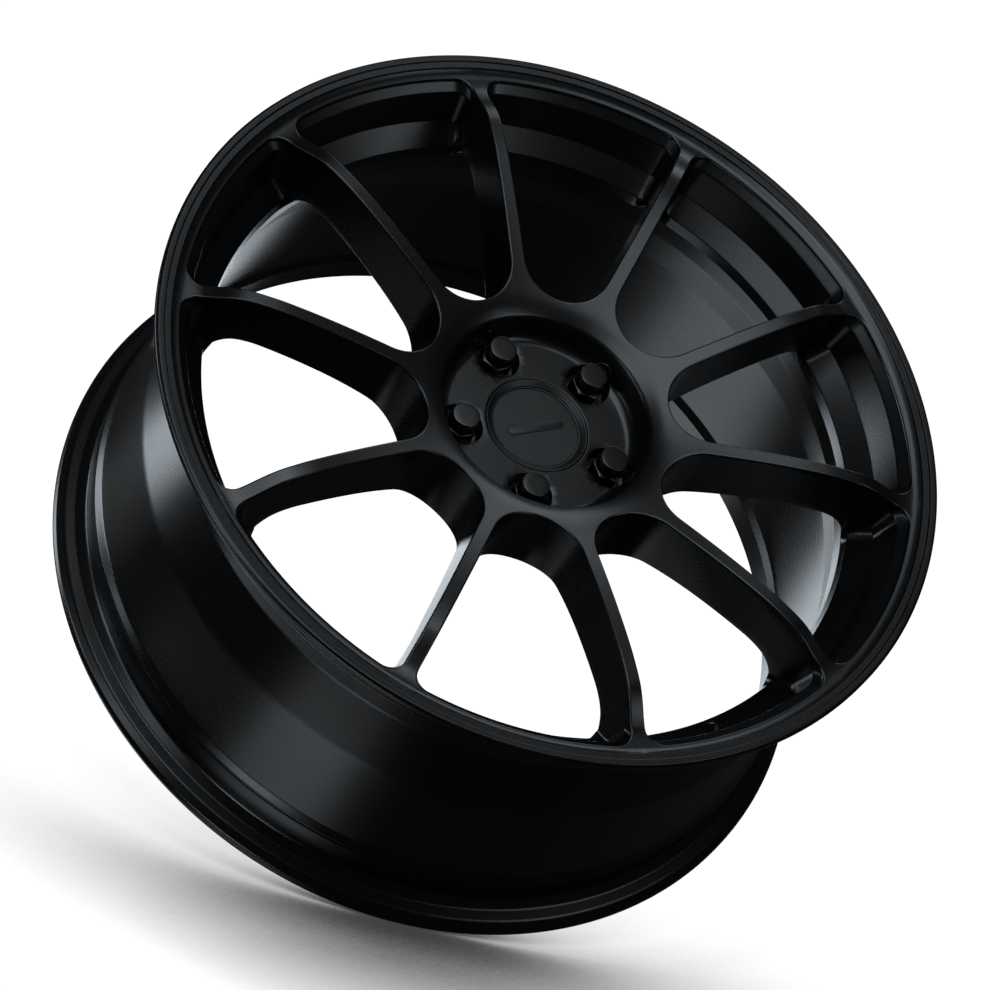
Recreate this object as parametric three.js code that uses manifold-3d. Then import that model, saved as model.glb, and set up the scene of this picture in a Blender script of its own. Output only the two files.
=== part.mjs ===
// Forged ten-spoke racing wheel, 18 x 8J, 5 x 100, with its lug nuts and centre cap.
// Millimetres. The wheel turns about +Y: the outer face looks along -Y and +Z is up.
import * as THREE from "three";
import { mergeVertices } from "three/addons/utils/BufferGeometryUtils.js";
import Module from "manifold-3d";

const wasm = await Module();
wasm.setup();

// ---- driving dimensions ----------------------------------------------------------
const FLANGE_R = 248.5;              // outer radius of both rim flanges
const SEAT_R = 231;                  // bead seat radius of an 18 inch rim
const RIM_DEPTH = 224.6;             // front lip to back flange
const FACE_BULGE = 4.7;              // how far the spokes stand in front of the lip
const FLANGE_CURL_R = 9.5;           // radius of the flange's curl on the tyre side
const LIP_Y = FACE_BULGE - (RIM_DEPTH + FACE_BULGE) / 2;   // lip plane in the part's frame

const SPOKES = 10;
const SPOKE_HALF_W = 4.4;            // half the width of a spoke's front face
const FLANK_DRAFT = 0.034;           // how much a flank leans out for each mm of depth
const WINDOW_FOOT_R = 79.5;          // nearest point of a window to the wheel's axis
const SPLIT_R = 95;                  // where the hub's forging region hands over to the spokes
const GAP = 0.3;                     // clearance between neighbouring solids

const LUGS = 5;
const LUG_CIRCLE_R = 50;             // 5 x 100 bolt circle
const LUG_POCKET_R = 13.9;
const LUG_POCKET_Y = 47.5;           // floor of the nut pocket behind the lip plane
const STUD_HOLE_R = 7.4;
const NUT_AF = 19;                   // hexagon across flats
const NUT_TOP_Y = 25.1;
const NUT_SHOULDER_Y = 34.4;         // where the round crown meets the hexagon
const NUT_FOOT_Y = 46;
const NUT_CROWN_R = 8.7;
const THREAD_R = 5.4;                // minor radius of the M12 thread
const SEAT_TOP_R = 10.9;
const SEAT_FOOT_Y = 53.4;

const PLATE_Y = 36;                  // flat hub plate that the cap sits on
const BOWL_R = 66.2;                 // rounded edge of the hub bowl
const PAD_Y = 67.3;                  // rear mounting face, offset +45 from the rim's centre
const PAD_R = 73;
const HUB_BORE_R = 28.05;            // 56.1 mm hub register
const CAP_BORE_R = 29.6;             // wider front bore that the cap's legs snap into
const CAP_BORE_END_Y = 56;
const CAP_SEAT_R = 32.8;             // counterbore that the cap's rim drops into
const CAP_SEAT_Y = 41.5;
const CAP_R = 32.4;
const CAP_TOP_Y = 35.9;              // the cap's rim is flush with the hub plate
const EMBLEM_R = 27.6;
const EMBLEM_Y = 38.6;               // face of the recessed disc
const CAP_LEGS = [[28.6, 50], [29.2, 51.4], [28.2, 53]];   // snap bead at the end of the cap's legs
const LEG_BACK_R = 26.2;
const LEG_SLOTS = 4;                 // saw cuts across the sleeve, which leave eight legs
const LEG_SLOT = [80, 15, 5];        // length, depth and width of a cut
const SPRING_R = 24.9;
const SPRING_Y = 50;
const SPRING_WIRE_R = 0.95;

const VALVE_ANGLE = 288;             // degrees from +X towards +Z
const VALVE_R = 5.75;
const VALVE_SPOT_R = 9;

const TURN_SEGMENTS = 60;            // facets round the wheel, a multiple of twice the spokes
const CAP_SEGMENTS = 40;
const SMALL_SEGMENTS = 20;

// ---- helpers ---------------------------------------------------------------------
const rad = THREE.MathUtils.degToRad;
const at = (y) => LIP_Y + y;         // depth behind the lip plane to the part's frame

function solid(geometry) {
  const bare = geometry.index ? geometry.clone() : geometry;
  bare.deleteAttribute("normal");
  bare.deleteAttribute("uv");
  const merged = mergeVertices(bare, 1e-4);
  const triVerts = Uint32Array.from(merged.index.array);
  const vertProperties = Float32Array.from(merged.attributes.position.array);
  const first = new wasm.Manifold(new wasm.Mesh({ numProp: 3, vertProperties, triVerts }));
  if (first.volume() > 0) return first;
  for (let i = 0; i < triVerts.length; i += 3) {
    const swap = triVerts[i];
    triVerts[i] = triVerts[i + 1];
    triVerts[i + 1] = swap;
  }
  return new wasm.Manifold(new wasm.Mesh({ numProp: 3, vertProperties, triVerts }));
}

function geometryOf(body) {
  const mesh = body.getMesh();
  const geometry = new THREE.BufferGeometry();
  const flat = new Float32Array(mesh.numVert * 3);
  for (let i = 0; i < mesh.numVert; i += 1) {
    for (let k = 0; k < 3; k += 1) flat[3 * i + k] = mesh.vertProperties[mesh.numProp * i + k];
  }
  geometry.setAttribute("position", new THREE.BufferAttribute(flat, 3));
  geometry.setIndex(new THREE.BufferAttribute(Uint32Array.from(mesh.triVerts), 1));
  return geometry;
}

// Turns a closed (radius, depth) outline about the wheel's axis.
function turned(outline, segments = TURN_SEGMENTS) {
  const points = outline.map(([r, y]) => new THREE.Vector2(r, at(y)));
  points.push(points[0].clone());
  return solid(new THREE.LatheGeometry(points, segments));
}

// A cylinder or cone along Y between two depths, at a place on the wheel's face.
function drum(x, z, r0, y0, r1, y1, segments = SMALL_SEGMENTS) {
  const geometry = new THREE.CylinderGeometry(r1, r0, y1 - y0, segments);
  geometry.translate(x, at((y0 + y1) / 2), z);
  return solid(geometry);
}

// Arc points from angle a0 to a1 (degrees), in any plane.
function arc(cu, cv, r, a0, a1, steps) {
  const points = [];
  for (let i = 0; i <= steps; i += 1) {
    const a = rad(a0 + ((a1 - a0) * i) / steps);
    points.push([cu + r * Math.cos(a), cv + r * Math.sin(a)]);
  }
  return points;
}

// Skins a stack of outlines, one for each depth, into a closed solid.
function lofted(levels) {
  const count = levels[0].outline.length;
  const flat = [];
  for (const { y, outline } of levels) {
    for (const [x, z] of outline) flat.push(x, at(y), z);
  }
  const index = [];
  for (let j = 0; j + 1 < levels.length; j += 1) {
    for (let i = 0; i < count; i += 1) {
      const a = j * count + i;
      const b = j * count + ((i + 1) % count);
      index.push(a, b, b + count, a, b + count, a + count);
    }
  }
  const cap = (outline) => {
    const loop = outline.map(([x, z]) => new THREE.Vector2(x, z));
    return THREE.ShapeUtils.triangulateShape(loop, []);
  };
  for (const [a, b, c] of cap(levels[0].outline)) index.push(a, c, b);
  const last = (levels.length - 1) * count;
  for (const [a, b, c] of cap(levels[levels.length - 1].outline)) {
    index.push(last + a, last + b, last + c);
  }
  const geometry = new THREE.BufferGeometry();
  geometry.setAttribute("position", new THREE.Float32BufferAttribute(flat, 3));
  geometry.setIndex(index);
  return solid(geometry);
}

// Turns a solid about the wheel's axis by an angle from +X towards +Z.
const spun = (body, degrees) => body.rotate([0, -degrees, 0]);

function part(name, shape, colour, roughness, metalness) {
  const geometry = shape.isBufferGeometry ? shape : geometryOf(shape);
  const material = new THREE.MeshStandardMaterial({ color: colour, roughness, metalness });
  const mesh = new THREE.Mesh(geometry, material);
  mesh.name = name;
  return mesh;
}

// ---- the rim's section -------------------------------------------------------------
// The wall that faces the axis between two spokes: lip, bead seat, well flank, well floor.
const WINDOW_WALL = [
  [233.2, 4.4], [232.6, 6.6], [230.2, 9], [227.4, 11], [221.8, 33.4], [208.1, 43], [206.8, 50.2],
];
const FLANK_START = WINDOW_WALL[4];
const FLANK_END = WINDOW_WALL[5];

// The front of the flange: three bands with a turned groove between each two.
const LIP_BANDS = [
  [238.6, 2.6], [239.3, 1.5], [243, 1.3], [243.7, 0.3], [247.4, 0], [FLANGE_R, 1.2],
];

function rimSection() {
  const curlR = FLANGE_R - FLANGE_CURL_R;
  const frontCurl = arc(curlR, LIP_BANDS.at(-1)[1], FLANGE_CURL_R, 30, 90, 2);
  const rearCurl = arc(curlR, RIM_DEPTH - 1.2, FLANGE_CURL_R, -90, -30, 2);
  const tyreSide = [
    [SEAT_R + 1.6, 12.6], [SEAT_R - 0.4, 16.5], [SEAT_R - 1.6, 30], [SEAT_R - 0.7, 33.5],
    [SEAT_R - 2.6, 37], [213.7, 47], [213.5, 70], [223.5, 112], [229.6, 180],
    [232.2, 186.4], [SEAT_R - 1.4, 191.5], [SEAT_R - 0.4, 208], [SEAT_R + 1.6, 212],
  ];
  const backFace = [
    [FLANGE_R, RIM_DEPTH - 1.2], [247.4, RIM_DEPTH], [243.6, RIM_DEPTH], [239, 219.6], [226.8, 217.2],
  ];
  const barrelInside = [
    [224, 195.5], [225.4, 188.3], [216.8, 106.6], [214.9, 92.6], [207.8, 64],
  ];
  return [
    ...WINDOW_WALL.toReversed(), ...LIP_BANDS, ...frontCurl, ...tyreSide, ...rearCurl,
    ...backFace, ...barrelInside,
  ];
}

// A hole square to the well's front flank, with a spot face for the valve's nut.
function valveCut() {
  const r = (FLANK_START[0] + FLANK_END[0]) / 2;
  const y = (FLANK_START[1] + FLANK_END[1]) / 2;
  const lean = Math.atan2(FLANK_END[1] - FLANK_START[1], FLANK_START[0] - FLANK_END[0]);
  const hole = new THREE.CylinderGeometry(VALVE_R, VALVE_R, 34, SMALL_SEGMENTS);
  const spot = new THREE.CylinderGeometry(VALVE_SPOT_R, VALVE_SPOT_R, 6, SMALL_SEGMENTS);
  spot.translate(0, -3 + 0.5, 0);
  const place = (geometry) => {
    geometry.rotateZ(-lean);
    geometry.translate(r, at(y), 0);
    return solid(geometry);
  };
  return spun(place(hole).add(place(spot)), VALVE_ANGLE);
}

// ---- windows and the forged centre -------------------------------------------------
const HALF_PITCH = 180 / SPOKES;

// One window's outline in plan, centred on +X. The hub end is one arc that meets both
// flanks, and a small arc joins each flank to the rim.
function windowOutline(halfWidth, footR, rimR, cornerR) {
  const s = Math.sin(rad(HALF_PITCH));
  const footArcAt = (footR - halfWidth) / (1 - s);
  const footArcR = footArcAt * s - halfWidth;
  const cornerOff = halfWidth + cornerR;
  const along = Math.sqrt((rimR - cornerR) ** 2 - cornerOff ** 2);
  const cornerTurn = (Math.asin(cornerOff / (rimR - cornerR)) * 180) / Math.PI;
  const cu = along * Math.cos(rad(HALF_PITCH)) + cornerOff * s;
  const cv = along * s - cornerOff * Math.cos(rad(HALF_PITCH));
  const rimTurn = HALF_PITCH - cornerTurn;
  const upper = arc(cu, cv, cornerR, rimTurn, 90 + HALF_PITCH, 4);
  const lower = upper.map(([u, v]) => [u, -v]).reverse();
  const foot = arc(footArcAt, 0, footArcR, 90 + HALF_PITCH, 270 - HALF_PITCH, 12);
  const edge = arc(0, 0, rimR, -rimTurn, rimTurn, 8).slice(1, -1);
  return [...upper, ...foot, ...lower, ...edge];
}

function windowCut() {
  const corners = [11, 11, 10.5, 10, 8, 7, 7];
  const wall = WINDOW_WALL.map(([r, y], i) => [r, y, corners[i]]);
  const [lipR, , lipCorner] = wall[0];
  const [wellR, , wellCorner] = wall.at(-1);
  const stack = [[lipR, -14, lipCorner], ...wall, [wellR, PAD_Y + 6, wellCorner]];
  const levels = stack.map(([r, y, cornerR]) => {
    const lean = FLANK_DRAFT * Math.max(y, 0);
    const outline = windowOutline(SPOKE_HALF_W + lean, WINDOW_FOOT_R + lean, r + GAP, cornerR);
    return { y, outline };
  });
  return lofted(levels);
}

// The wheel's outer face from the hub bowl's edge to the lip.
const OUTER_FACE = [
  [74.5, 15.9], [89.5, 12.4], [104.5, 8.4], [119.5, 5.2], [134, 2], [149, -0.5], [164, -3],
  [179, -4.5], [194, -FACE_BULGE], [201.5, -3.6], [209, -1], [216.5, 2.2], [223.7, 4.4],
  [232.9, 4.7],
];
const HUB_BOWL = [
  [HUB_BORE_R, 60], [CAP_BORE_R, CAP_BORE_END_Y], [CAP_BORE_R, CAP_SEAT_Y], [CAP_SEAT_R, CAP_SEAT_Y],
  [CAP_SEAT_R, PLATE_Y], [57.2, PLATE_Y], [60.4, 34.6], [62.4, 31.2], [64.9, 23.4], [BOWL_R, 20.8],
  [69.4, 18.1],
];
// Back of a spoke from the rim to the hub, which arches forward along its span.
const SPOKE_BACK = [
  [203.8, 43.4], [200.5, 38.6], [196, 34.6], [190, 32.4], [182, 31.8], [170, 33], [155, 35.7], [134, 40.2],
  [120, 44.2], [109, 47.9], [100, 51.6], [91, 56],
];

function centreSection() {
  const rimSide = WINDOW_WALL.map(([r, y]) => [r - GAP, y]);
  const back = [[PAD_R + 9, 60.6], [PAD_R + 1, 65], [PAD_R, PAD_Y], [HUB_BORE_R + 1, PAD_Y]];
  return [
    [HUB_BORE_R, PAD_Y - 1], ...HUB_BOWL, ...OUTER_FACE, ...rimSide.slice(1), ...SPOKE_BACK, ...back,
  ];
}

// ---- named pieces ------------------------------------------------------------------
const BLACK = 0x15171a;

function makeRim() {
  return part("rim_barrel", turned(rimSection()).subtract(valveCut()), BLACK, 0.42, 0.6);
}

function makeSpokes(centre, windowSolid) {
  const reach = FLANGE_R + 10;
  const far = reach * Math.tan(rad(HALF_PITCH));
  const wedge = new THREE.Shape([[0, 0], [reach, -far], [reach, far]].map((p) => new THREE.Vector2(...p)));
  const sector = new THREE.ExtrudeGeometry(wedge, { depth: 400, bevelEnabled: false });
  sector.rotateX(Math.PI / 2);
  sector.translate(0, 200, 0);
  const core = turned([[0, -60], [SPLIT_R + GAP / 2, -60], [SPLIT_R + GAP / 2, 120], [0, 120]]);
  const lifted = spun(centre, -HALF_PITCH);
  const spoke = lifted.intersect(solid(sector)).subtract(core)
    .subtract(spun(windowSolid, HALF_PITCH)).subtract(spun(windowSolid, -HALF_PITCH));
  const geometry = geometryOf(spoke);
  const meshes = [];
  for (let i = 0; i < SPOKES; i += 1) {
    const mesh = part(`spoke_${String(i + 1).padStart(2, "0")}`, geometry, BLACK, 0.42, 0.6);
    mesh.rotation.y = -rad(HALF_PITCH + (360 / SPOKES) * i);
    meshes.push(mesh);
  }
  return meshes;
}

const lugPlaces = Array.from({ length: LUGS }, (_, i) => rad(36 + (360 / LUGS) * i))
  .map((a) => [LUG_CIRCLE_R * Math.cos(a), LUG_CIRCLE_R * Math.sin(a)]);

function makeHub(centre, windowSolid) {
  const inner = turned([[0, -60], [SPLIT_R - GAP / 2, -60], [SPLIT_R - GAP / 2, 120], [0, 120]]);
  let hub = centre.intersect(inner);
  for (let i = 0; i < SPOKES; i += 1) hub = hub.subtract(spun(windowSolid, (360 / SPOKES) * i));
  for (const [x, z] of lugPlaces) {
    const pocket = drum(x, z, LUG_POCKET_R, -10, LUG_POCKET_R, LUG_POCKET_Y);
    const taper = drum(x, z, SEAT_TOP_R + GAP + 0.1, LUG_POCKET_Y - 0.5, STUD_HOLE_R, SEAT_FOOT_Y + 1);
    const stud = drum(x, z, STUD_HOLE_R, SEAT_FOOT_Y, STUD_HOLE_R, PAD_Y + 5);
    hub = hub.subtract(pocket).subtract(taper).subtract(stud);
  }
  return part("hub_centre", hub, BLACK, 0.42, 0.6);
}

// Closed-end nut: round crown, hexagon, short nose, threaded from behind.
function makeNut(x, z, index) {
  const hexR = NUT_AF / Math.sqrt(3);
  const chamfer = 0.6;
  const crown = drum(x, z, NUT_CROWN_R - chamfer, NUT_TOP_Y, NUT_CROWN_R, NUT_TOP_Y + chamfer)
    .add(drum(x, z, NUT_CROWN_R, NUT_TOP_Y + chamfer, NUT_CROWN_R, NUT_SHOULDER_Y + 1));
  const hexagon = drum(x, z, hexR, NUT_SHOULDER_Y, hexR, NUT_FOOT_Y, 6);
  const thread = drum(x, z, THREAD_R, NUT_TOP_Y + 5, THREAD_R, NUT_FOOT_Y + 9, 16);
  const nose = drum(x, z, 6.7, NUT_FOOT_Y - 1, 6.7, SEAT_FOOT_Y - 0.6);
  const nut = hexagon.add(crown).add(nose).subtract(thread);
  return part(`lug_nut_${index}`, nut, 0x1a1b1d, 0.35, 0.8);
}

// Taper washer that stays still while the nut turns on it.
function makeSeat(x, z, index) {
  const cone = drum(x, z, SEAT_TOP_R, NUT_FOOT_Y + GAP, 7.6, SEAT_FOOT_Y - 0.2);
  const bore = drum(x, z, 6.7 + GAP, NUT_FOOT_Y - 1, 6.7 + GAP, SEAT_FOOT_Y + 1);
  return part(`lug_seat_${index}`, cone.subtract(bore), 0x1d1e20, 0.4, 0.8);
}

function makeCap() {
  const floor = EMBLEM_Y + 0.8;
  const under = CAP_SEAT_Y - GAP;
  const shell = turned([
    [0, floor], [EMBLEM_R + 0.2, floor], [EMBLEM_R + 0.2, EMBLEM_Y - 0.6], [28.9, EMBLEM_Y - 1],
    [31.6, CAP_TOP_Y + 0.1], [32, CAP_TOP_Y], [CAP_R, CAP_TOP_Y + 0.4], [CAP_R, under], [0, under],
  ], CAP_SEGMENTS);
  const sleeve = turned([
    [LEG_BACK_R, under - 0.5], [CAP_LEGS[0][0], under - 0.5], ...CAP_LEGS, [LEG_BACK_R, CAP_LEGS[2][1]],
  ], CAP_SEGMENTS);
  let body = shell.add(sleeve);
  const slot = new THREE.BoxGeometry(...LEG_SLOT);
  slot.translate(0, at(CAP_SEAT_Y + 1 + LEG_SLOT[1] / 2), 0);
  const step = 180 / LEG_SLOTS;
  for (let i = 0; i < LEG_SLOTS; i += 1) body = body.subtract(spun(solid(slot.clone()), step * (i + 0.5)));
  return part("cap_shell", body, 0x17181a, 0.45, 0.1);
}

// Thin plain disc set into the cap.
function makeEmblem() {
  const back = EMBLEM_Y + 0.75;
  const disc = turned([[0, EMBLEM_Y], [EMBLEM_R - 0.4, EMBLEM_Y], [EMBLEM_R - GAP, EMBLEM_Y + 0.3],
    [EMBLEM_R - GAP, back], [0, back]], CAP_SEGMENTS);
  return part("cap_emblem", disc, 0x18191b, 0.5, 0.2);
}

// Wire ring that presses the cap's legs outwards.
function makeSpringRing() {
  const ring = arc(SPRING_R, SPRING_Y, SPRING_WIRE_R, 0, 300, 5);
  return part("cap_spring_ring", turned(ring, 32), 0x8a8d90, 0.3, 1);
}

const wheel = new THREE.Group();
const centre = turned(centreSection());
const windowSolid = windowCut();
wheel.add(makeRim(), makeHub(centre, windowSolid), ...makeSpokes(centre, windowSolid));
lugPlaces.forEach(([x, z], i) => wheel.add(makeNut(x, z, i + 1), makeSeat(x, z, i + 1)));
wheel.add(makeCap(), makeEmblem(), makeSpringRing());

export default wheel;
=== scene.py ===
"""A forged ten spoke racing wheel in satin black, with black lug nuts and a snap-in centre cap."""

import math

import bmesh
import bpy
from bpy.props import FloatProperty, FloatVectorProperty, IntProperty, PointerProperty
from bpy.types import Operator, Panel, PropertyGroup
from mathutils import Matrix, Vector
from mathutils.geometry import delaunay_2d_cdt


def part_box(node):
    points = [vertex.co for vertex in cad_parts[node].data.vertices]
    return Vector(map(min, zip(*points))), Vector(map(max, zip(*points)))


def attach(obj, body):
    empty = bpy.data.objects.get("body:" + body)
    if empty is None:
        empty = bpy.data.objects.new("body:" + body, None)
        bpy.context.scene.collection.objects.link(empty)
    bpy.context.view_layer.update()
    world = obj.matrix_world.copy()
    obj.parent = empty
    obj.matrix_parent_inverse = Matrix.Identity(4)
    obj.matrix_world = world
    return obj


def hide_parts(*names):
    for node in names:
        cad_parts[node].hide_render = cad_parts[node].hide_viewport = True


bl_info = {
    "name": "Forged racing wheel",
    "version": (1, 0, 0),
    "blender": (4, 5, 0),
    "location": "View3D > Sidebar > Wheel",
    "description": "Builds a forged ten spoke wheel with its lug nuts and centre cap",
    "category": "Add Mesh",
}

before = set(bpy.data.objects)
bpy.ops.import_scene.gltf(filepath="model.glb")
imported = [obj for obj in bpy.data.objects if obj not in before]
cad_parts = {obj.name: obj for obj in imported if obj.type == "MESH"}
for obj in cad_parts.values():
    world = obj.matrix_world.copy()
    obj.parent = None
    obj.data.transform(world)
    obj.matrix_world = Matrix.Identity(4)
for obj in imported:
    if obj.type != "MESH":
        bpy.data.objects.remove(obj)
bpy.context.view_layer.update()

MM = 0.001
RIM_DEPTH = 224.6                  # front lip to back flange, mm
LIP_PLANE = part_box("rim_barrel")[1].y / MM - RIM_DEPTH
SPOKES = 10
HALF_PITCH = math.pi / SPOKES
LUGS = 5
FIRST_LUG = math.radians(36)
VALVE_ANGLE = math.radians(288)

# Every outline below is (distance from the axle, depth behind the lip plane) in mm.
OUTER_FACE = [
    (62, 21.4), (67.4, 18.95), (74.5, 15.75), (89.5, 11.95), (104.5, 8.4), (119.5, 5.05), (134, 2.1),
    (149, -0.6), (164, -2.85), (179, -4.4), (190, -4.7), (197, -4.4), (203, -3.2), (209, -1.1),
    (216.5, 2.1), (223.7, 4.3), (229, 4.8), (232.9, 4.75), (235.5, 4.3), (238.6, 2.6),
]
WINDOW_WALL = [
    (233.2, -20, 0), (232.9, 6.6, 1.6), (227.2, 11.2, 2), (221.8, 33.4, 0.9),
    (208.1, 43, 0.9), (206.8, 50.2, 0), (206.8, 70, 0),
]
CORNER_ROUNDS = [(-20, 11), (6.6, 11), (9, 10.5), (11, 10), (33.4, 8), (43, 7), (70, 7)]
LIP_RING = (238.6, 2.6)
BACK_RING = (206.8, 50.2)
PARTING = [
    (236.6, 5.6), (233.4, 9.6), (230.6, 12.8), (228.6, 15.6), (226.6, 31), (224.4, 34.8), (211.4, 44.8),
    (210.4, 50.2),
]
SPOKE_BACK = [
    (74, 65), (82, 60.6), (91, 56), (100, 51.6), (109, 47.9), (120, 44.1), (134, 40.1), (155, 35.6),
    (170, 33.2), (182, 31.9), (190, 32.4), (196, 34.7), (200.5, 38.6), (203.8, 43.4), (206.8, 50.2),
]
HUB_RING_R = 71.5
BACK_HUB_RING = (74, 65)
HUB_BOWL = [(HUB_RING_R, 17.09, 0), (66.7, 19.28, 4.5), (61.9, 36, 6.5), (33.3, 36, 0)]
CAP_SEAT = [
    (33.3, 36), (33.1, 36.05), (32.93, 36.2), (32.85, 36.45), (32.8, 37), (32.8, 41.2),
    (32.5, 41.5), (29.6, 41.5),
]
NUT_TURNS = [12, 42, 38, 10, 12]   # degrees that each nut's hexagon is turned by
NUT_TOP, NUT_SHOULDER, NUT_FOOT = 25.1, 34.4, 46
NUT_CROWN, NUT_WASHER, NUT_CORNER = 8.75, 9.3, 10.75
NUT_NOSE, NUT_THREAD = 6.7, 5.4
NUT_NOSE_END, NUT_BLIND_END = 52.8, NUT_TOP + 5
SEAT_RING = [
    (7.1, 46.5), (10.4, 46.35), (10.8, 46.55), (10.9, 47), (10.7, 47.5), (7.7, 53), (7.1, 53.2), (7.1, 46.5),
]
CAP_OUTLINE = [
    (0, 39.4, 0), (27.8, 39.4, 0), (27.8, 38.5, 0), (28.5, 38.4, 0.2), (28.75, 37.75, 0.2),
    (31.7, 35.95, 0.4), (32.42, 35.85, 0.35), (32.5, 41.2, 0.4), (0, 41.2, 0),
]
CAP_LEG = [(26.2, 40.9), (28.6, 40.9), (28.6, 50), (29.2, 51.4), (28.2, 53), (26.2, 53)]
CAP_LEGS = 8
CAP_LEG_SLOT = 2.5      # half the gap between two legs
EMBLEM_OUTLINE = [(0, 38.6, 0), (27.3, 38.6, 0.25), (27.4, 39.35, 0), (0, 39.35, 0)]
SPRING_R, SPRING_DEPTH, SPRING_WIRE_R, SPRING_GAP = 24.9, 50, 0.95, 60
EMBLEM_BAR = {"length": 38, "width": 6.4, "height": 0.55, "turn": math.radians(9)}
BARREL = [
    (LIP_RING[0], LIP_RING[1], 0), (239.3, 1.5, 0.35), (243, 1.25, 0.3), (243.7, 0.3, 0.35), (247.2, 0, 0.8),
    (248.5, 1.5, 0.8), (248.4, 5.2, 1.2), (246.3, 7.6, 3), (242.6, 10, 4), (236.6, 10.9, 2.5),
    (232.4, 13, 2.5), (230.6, 17, 3), (229.4, 30, 4), (230.4, 33.6, 2.2), (228.2, 37.4, 2.2),
    (214, 46.8, 7), (213.5, 70, 9),
    (223.5, 112, 40), (229.4, 180, 6), (232.3, 186.4, 2.2), (229.6, 191.4, 3.5), (230.8, 209, 4),
    (236.4, 213.6, 3.5), (243.6, 215, 4), (247.6, 218.6, 2), (248.5, 221.6, 1), (248.5, 223.6, 0.8),
    (247.4, 224.6, 0.6), (243.8, 224.6, 0.8), (239.4, 219.8, 1.6), (226.6, 217.2, 1.2), (224, 195.5, 2),
    (225.4, 188.3, 2), (216.8, 106.6, 8), (214.9, 92.6, 8), (207.8, 64, 12), (BACK_RING[0], BACK_RING[1], 0),
]


def length(name, description, default, **extra):
    """A property in metres."""
    return FloatProperty(name=name, description=description, default=default, unit="LENGTH", **extra)


def angle(name, description, degrees):
    """A property that is shown in degrees."""
    return FloatProperty(name=name, description=description, default=math.radians(degrees), subtype="ANGLE")


def colour(name, description, default):
    """A colour property."""
    return FloatVectorProperty(name=name, description=description, default=default, subtype="COLOR", size=4)


class WheelSizes(PropertyGroup):
    """Sizes of the wheel that a user would change."""

    spoke_width: length("Spoke width", "Width of a spoke's front face", 8.8 * MM, min=0.006)
    flank_draft: FloatProperty(
        name="Flank draft", description="How far a flank leans out for each unit of depth",
        default=0.034, min=0,
    )
    window_foot: length("Window foot", "Distance from the axle to the nearest point of a window", 79.5 * MM)
    edge_round: length("Edge rounding", "Radius that the spokes' machined edges are broken to", 1.0 * MM)
    turn_segments: IntProperty(
        name="Barrel facets", description="Steps round the turned barrel", default=360, min=60
    )
    lug_circle: length("Lug circle", "Radius of the circle that the studs stand on", 50 * MM)
    nut_hexagon: length("Nut hexagon", "Size of the nut across its flats", 19 * MM)
    valve_hole: length("Valve hole", "Radius of the hole for the tyre valve", 5.75 * MM)


class WheelColours(PropertyGroup):
    """Colours and sheen of the wheel's finishes."""

    coat: colour("Powder coat", "Colour of the wheel's satin coat", (0.0026, 0.0028, 0.0033, 1))
    coat_sheen: FloatProperty(
        name="Coat roughness", description="How matt the satin coat is", default=0.28, min=0, max=1
    )
    nut: colour("Nut finish", "Colour of the black lug nuts", (0.0022, 0.0023, 0.0026, 1))
    cap: colour("Cap plastic", "Colour of the moulded cap", (0.0022, 0.0023, 0.0026, 1))
    floor: colour("Floor", "Colour of the pale floor", (1, 1, 1, 1))


class WheelStage(PropertyGroup):
    """Where the camera stands and how the floor lies."""

    heading: angle("Heading", "Which way the camera looks, from the axle's direction", 27.335)
    climb: angle("Climb", "How steeply the camera looks up", 27.901)
    roll: angle("Roll", "How far the camera is turned about its own line of sight", 13.226)
    distance: length("Distance", "From the camera to the middle of the wheel", 2.48208)
    lens: FloatProperty(name="Lens", description="Focal length in millimetres", default=146.849)
    floor_tilt: angle("Floor tilt", "Angle between the camera's line of sight and the floor", 15)
    floor_lean: angle("Floor lean", "How far the floor falls away to the camera's right", 19)
    shadow_reach: length("Shadow reach", "How far from the wheel its soft shadow reaches", 0.19)
    shadow_depth: FloatProperty(
        name="Shadow depth", description="Brightness of the darkest shadow", default=0.05
    )


def smooth_curve(points):
    """A curve through the points that never overshoots them, as a function of the first number."""
    xs = [p[0] for p in points]
    ys = [p[1] for p in points]
    slopes = [(ys[i + 1] - ys[i]) / (xs[i + 1] - xs[i]) for i in range(len(xs) - 1)]
    turns = [slopes[0]]
    for i in range(1, len(xs) - 1):
        a, b = slopes[i - 1], slopes[i]
        wa = 2 * (xs[i + 1] - xs[i]) + xs[i] - xs[i - 1]
        wb = xs[i + 1] - xs[i] + 2 * (xs[i] - xs[i - 1])
        turns.append(0 if a * b <= 0 else (wa + wb) / (wa / a + wb / b))
    turns.append(slopes[-1])

    def value(x):
        x = min(max(x, xs[0]), xs[-1])
        i = max(0, min(len(xs) - 2, sum(1 for v in xs[1:-1] if v <= x)))
        step = xs[i + 1] - xs[i]
        t = (x - xs[i]) / step
        return (
            ys[i] * (1 + 2 * t) * (1 - t) ** 2 + turns[i] * step * t * (1 - t) ** 2
            + ys[i + 1] * t * t * (3 - 2 * t) + turns[i + 1] * step * t * t * (t - 1)
        )

    return value


def straight_curve(points):
    """A chain of straight lines as a function of the first number, which rises along the chain."""

    def value(x):
        for (xa, ya), (xb, yb) in zip(points, points[1:]):
            if x <= xb:
                return ya + (yb - ya) * max(0, (x - xa) / (xb - xa))
        return points[-1][1]

    return value


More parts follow.
